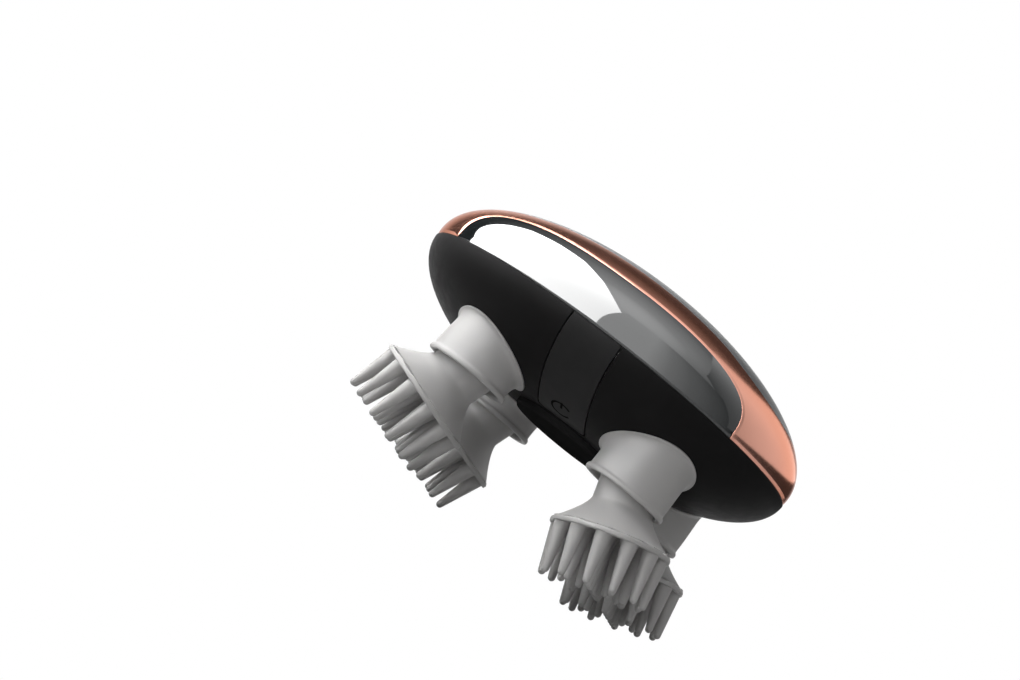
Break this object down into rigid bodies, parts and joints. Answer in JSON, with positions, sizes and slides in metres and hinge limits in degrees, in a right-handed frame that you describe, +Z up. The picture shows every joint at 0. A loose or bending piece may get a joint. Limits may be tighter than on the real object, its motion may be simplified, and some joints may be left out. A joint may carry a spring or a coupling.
{
  "type": "electric scalp massager",
  "caption": "Palm-sized electric scalp massager: a pebble-shaped casing with glossy side windows and a power key, on leaning silicone heads with blunt fingers that nutate together.",
  "frame": {"origin": "centre of the outline box in the plane on which the fingertips stand", "axes": "+Z up through the dome, +X along the casing towards its right end, -Y towards the side with the power key"},
  "size_m": [0.112, 0.094, 0.0775],
  "materials": {
    "housing_black": "soft-touch coating",
    "key_charcoal": "soft-touch coating",
    "copper_shell": "metallic copper lacquer",
    "panel_grey": "glossy dark grey",
    "window_black": "high gloss black",
    "plate_grey": "fine texture",
    "gasket_black": "soft",
    "silicone_collar": "matt silicone",
    "silicone_head": "matt silicone",
    "inner_black": "moulded",
    "inner_grey": "moulded",
    "core_grey": "moulded",
    "acetal": "moulded, white",
    "steel": "ground",
    "screw_steel": "zinc plated",
    "bronze": "sintered",
    "motor_steel": "drawn can",
    "motor_plate_metal": "stamped",
    "cell_wrap": "blue shrink sleeve",
    "board_green": "solder mask",
    "switch_grey": "moulded",
    "port_steel": "stamped shell"
  },
  "bodies": {
    "casing": {"lower_housing": "housing_black", "bottom_plate": "plate_grey", "bottom_gasket": "gasket_black", "bottom_plate_screws": "screw_steel", "joint_ring": "inner_black", "upper_shell": "copper_shell", "top_panel": "panel_grey", "window_front": "window_black", "window_back": "window_black", "key_hinge_pin": "steel", "tact_switch": "switch_grey", "switch_board": "board_green", "chassis_plate": "inner_grey", "chassis_screws": "screw_steel", "crank_bushes": "bronze", "motor_plate": "motor_plate_metal", "plate_pillars": "steel", "plate_screws": "screw_steel", "sun_axle": "steel", "gear_b_axle": "steel", "gear_a_axle": "steel", "motor_can": "motor_steel", "battery_cradle": "inner_grey", "battery_cells": "cell_wrap", "main_board": "board_green", "charging_port": "port_steel", "collar_front_left": "silicone_collar", "collar_front_right": "silicone_collar", "collar_back_left": "silicone_collar", "collar_back_right": "silicone_collar"},
    "power_key": {"power_key": "key_charcoal"},
    "sun": {"sun_gear": "acetal"},
    "gear_b": {"gear_b": "acetal"},
    "gear_a": {"gear_a": "acetal"},
    "motor_rotor": {"motor_rotor": "steel"},
    "crank_front_left": {"crank_front_left": "steel", "output_gear_front_left": "acetal", "head_clip_front_left": "steel"},
    "head_front_left": {"head_cup_front_left": "silicone_head", "head_core_front_left": "core_grey", "head_bush_front_left": "bronze"},
    "crank_front_right": {"crank_front_right": "steel", "output_gear_front_right": "acetal", "head_clip_front_right": "steel"},
    "head_front_right": {"head_cup_front_right": "silicone_head", "head_core_front_right": "core_grey", "head_bush_front_right": "bronze"},
    "crank_back_left": {"crank_back_left": "steel", "output_gear_back_left": "acetal", "head_clip_back_left": "steel"},
    "head_back_left": {"head_cup_back_left": "silicone_head", "head_core_back_left": "core_grey", "head_bush_back_left": "bronze"},
    "crank_back_right": {"crank_back_right": "steel", "output_gear_back_right": "acetal", "head_clip_back_right": "steel"},
    "head_back_right": {"head_cup_back_right": "silicone_head", "head_core_back_right": "core_grey", "head_bush_back_right": "bronze"}
  },
  "joints": [
    {"name": "power_key_press", "type": "hinge", "parent": "casing", "child": "power_key", "pos_m": [0.003, -0.0434, 0.05026], "axis": [1, 0, 0], "range_deg": [0, 1.2], "stiffness_Nm_per_rad": 1.2, "springref_deg": -0.57},
    {"name": "sun_spin", "type": "hinge", "parent": "casing", "child": "sun", "pos_m": [0.003, 0, 0.04946], "axis": [0, 0, 1], "continuous": true},
    {"name": "gear_b_spin", "type": "hinge", "parent": "casing", "child": "gear_b", "pos_m": [0.0318, 0, 0.05246], "axis": [0, 0, 1], "continuous": true},
    {"name": "gear_a_spin", "type": "hinge", "parent": "casing", "child": "gear_a", "pos_m": [0.0168, 0, 0.05646], "axis": [0, 0, 1], "continuous": true},
    {"name": "motor_spin", "type": "hinge", "parent": "casing", "child": "motor_rotor", "pos_m": [0.0018, 0, 0.06046], "axis": [0, 0, 1], "continuous": true},
    {"name": "crank_front_left_spin", "type": "hinge", "parent": "casing", "child": "crank_front_left", "pos_m": [-0.0217, -0.02278, 0.03066], "axis": [0, 0, 1], "continuous": true},
    {"name": "head_front_left_roll", "type": "hinge", "parent": "crank_front_left", "child": "head_front_left", "pos_m": [-0.0217, -0.02278, 0.03066], "axis": [0.309, 0, 0.9511], "continuous": true},
    {"name": "crank_front_right_spin", "type": "hinge", "parent": "casing", "child": "crank_front_right", "pos_m": [0.0277, -0.02278, 0.03066], "axis": [0, 0, 1], "continuous": true},
    {"name": "head_front_right_roll", "type": "hinge", "parent": "crank_front_right", "child": "head_front_right", "pos_m": [0.0277, -0.02278, 0.03066], "axis": [-0.309, 0, 0.9511], "continuous": true},
    {"name": "crank_back_left_spin", "type": "hinge", "parent": "casing", "child": "crank_back_left", "pos_m": [-0.0217, 0.02278, 0.03066], "axis": [0, 0, 1], "continuous": true},
    {"name": "head_back_left_roll", "type": "hinge", "parent": "crank_back_left", "child": "head_back_left", "pos_m": [-0.0217, 0.02278, 0.03066], "axis": [0.309, 0, 0.9511], "continuous": true},
    {"name": "crank_back_right_spin", "type": "hinge", "parent": "casing", "child": "crank_back_right", "pos_m": [0.0277, 0.02278, 0.03066], "axis": [0, 0, 1], "continuous": true},
    {"name": "head_back_right_roll", "type": "hinge", "parent": "crank_back_right", "child": "head_back_right", "pos_m": [0.0277, 0.02278, 0.03066], "axis": [-0.309, 0, 0.9511], "continuous": true}
  ],
  "couplings": [
    {"joint": "gear_b_spin", "follows": "sun_spin", "ratio": -5},
    {"joint": "gear_a_spin", "follows": "sun_spin", "ratio": 25},
    {"joint": "motor_spin", "follows": "sun_spin", "ratio": -125},
    {"joint": "crank_front_left_spin", "follows": "sun_spin", "ratio": -2.5},
    {"joint": "head_front_left_roll", "follows": "sun_spin", "ratio": 2.5},
    {"joint": "crank_front_right_spin", "follows": "sun_spin", "ratio": -2.5},
    {"joint": "head_front_right_roll", "follows": "sun_spin", "ratio": 2.5},
    {"joint": "crank_back_left_spin", "follows": "sun_spin", "ratio": -2.5},
    {"joint": "head_back_left_roll", "follows": "sun_spin", "ratio": 2.5},
    {"joint": "crank_back_right_spin", "follows": "sun_spin", "ratio": -2.5},
    {"joint": "head_back_right_roll", "follows": "sun_spin", "ratio": 2.5}
  ]
}
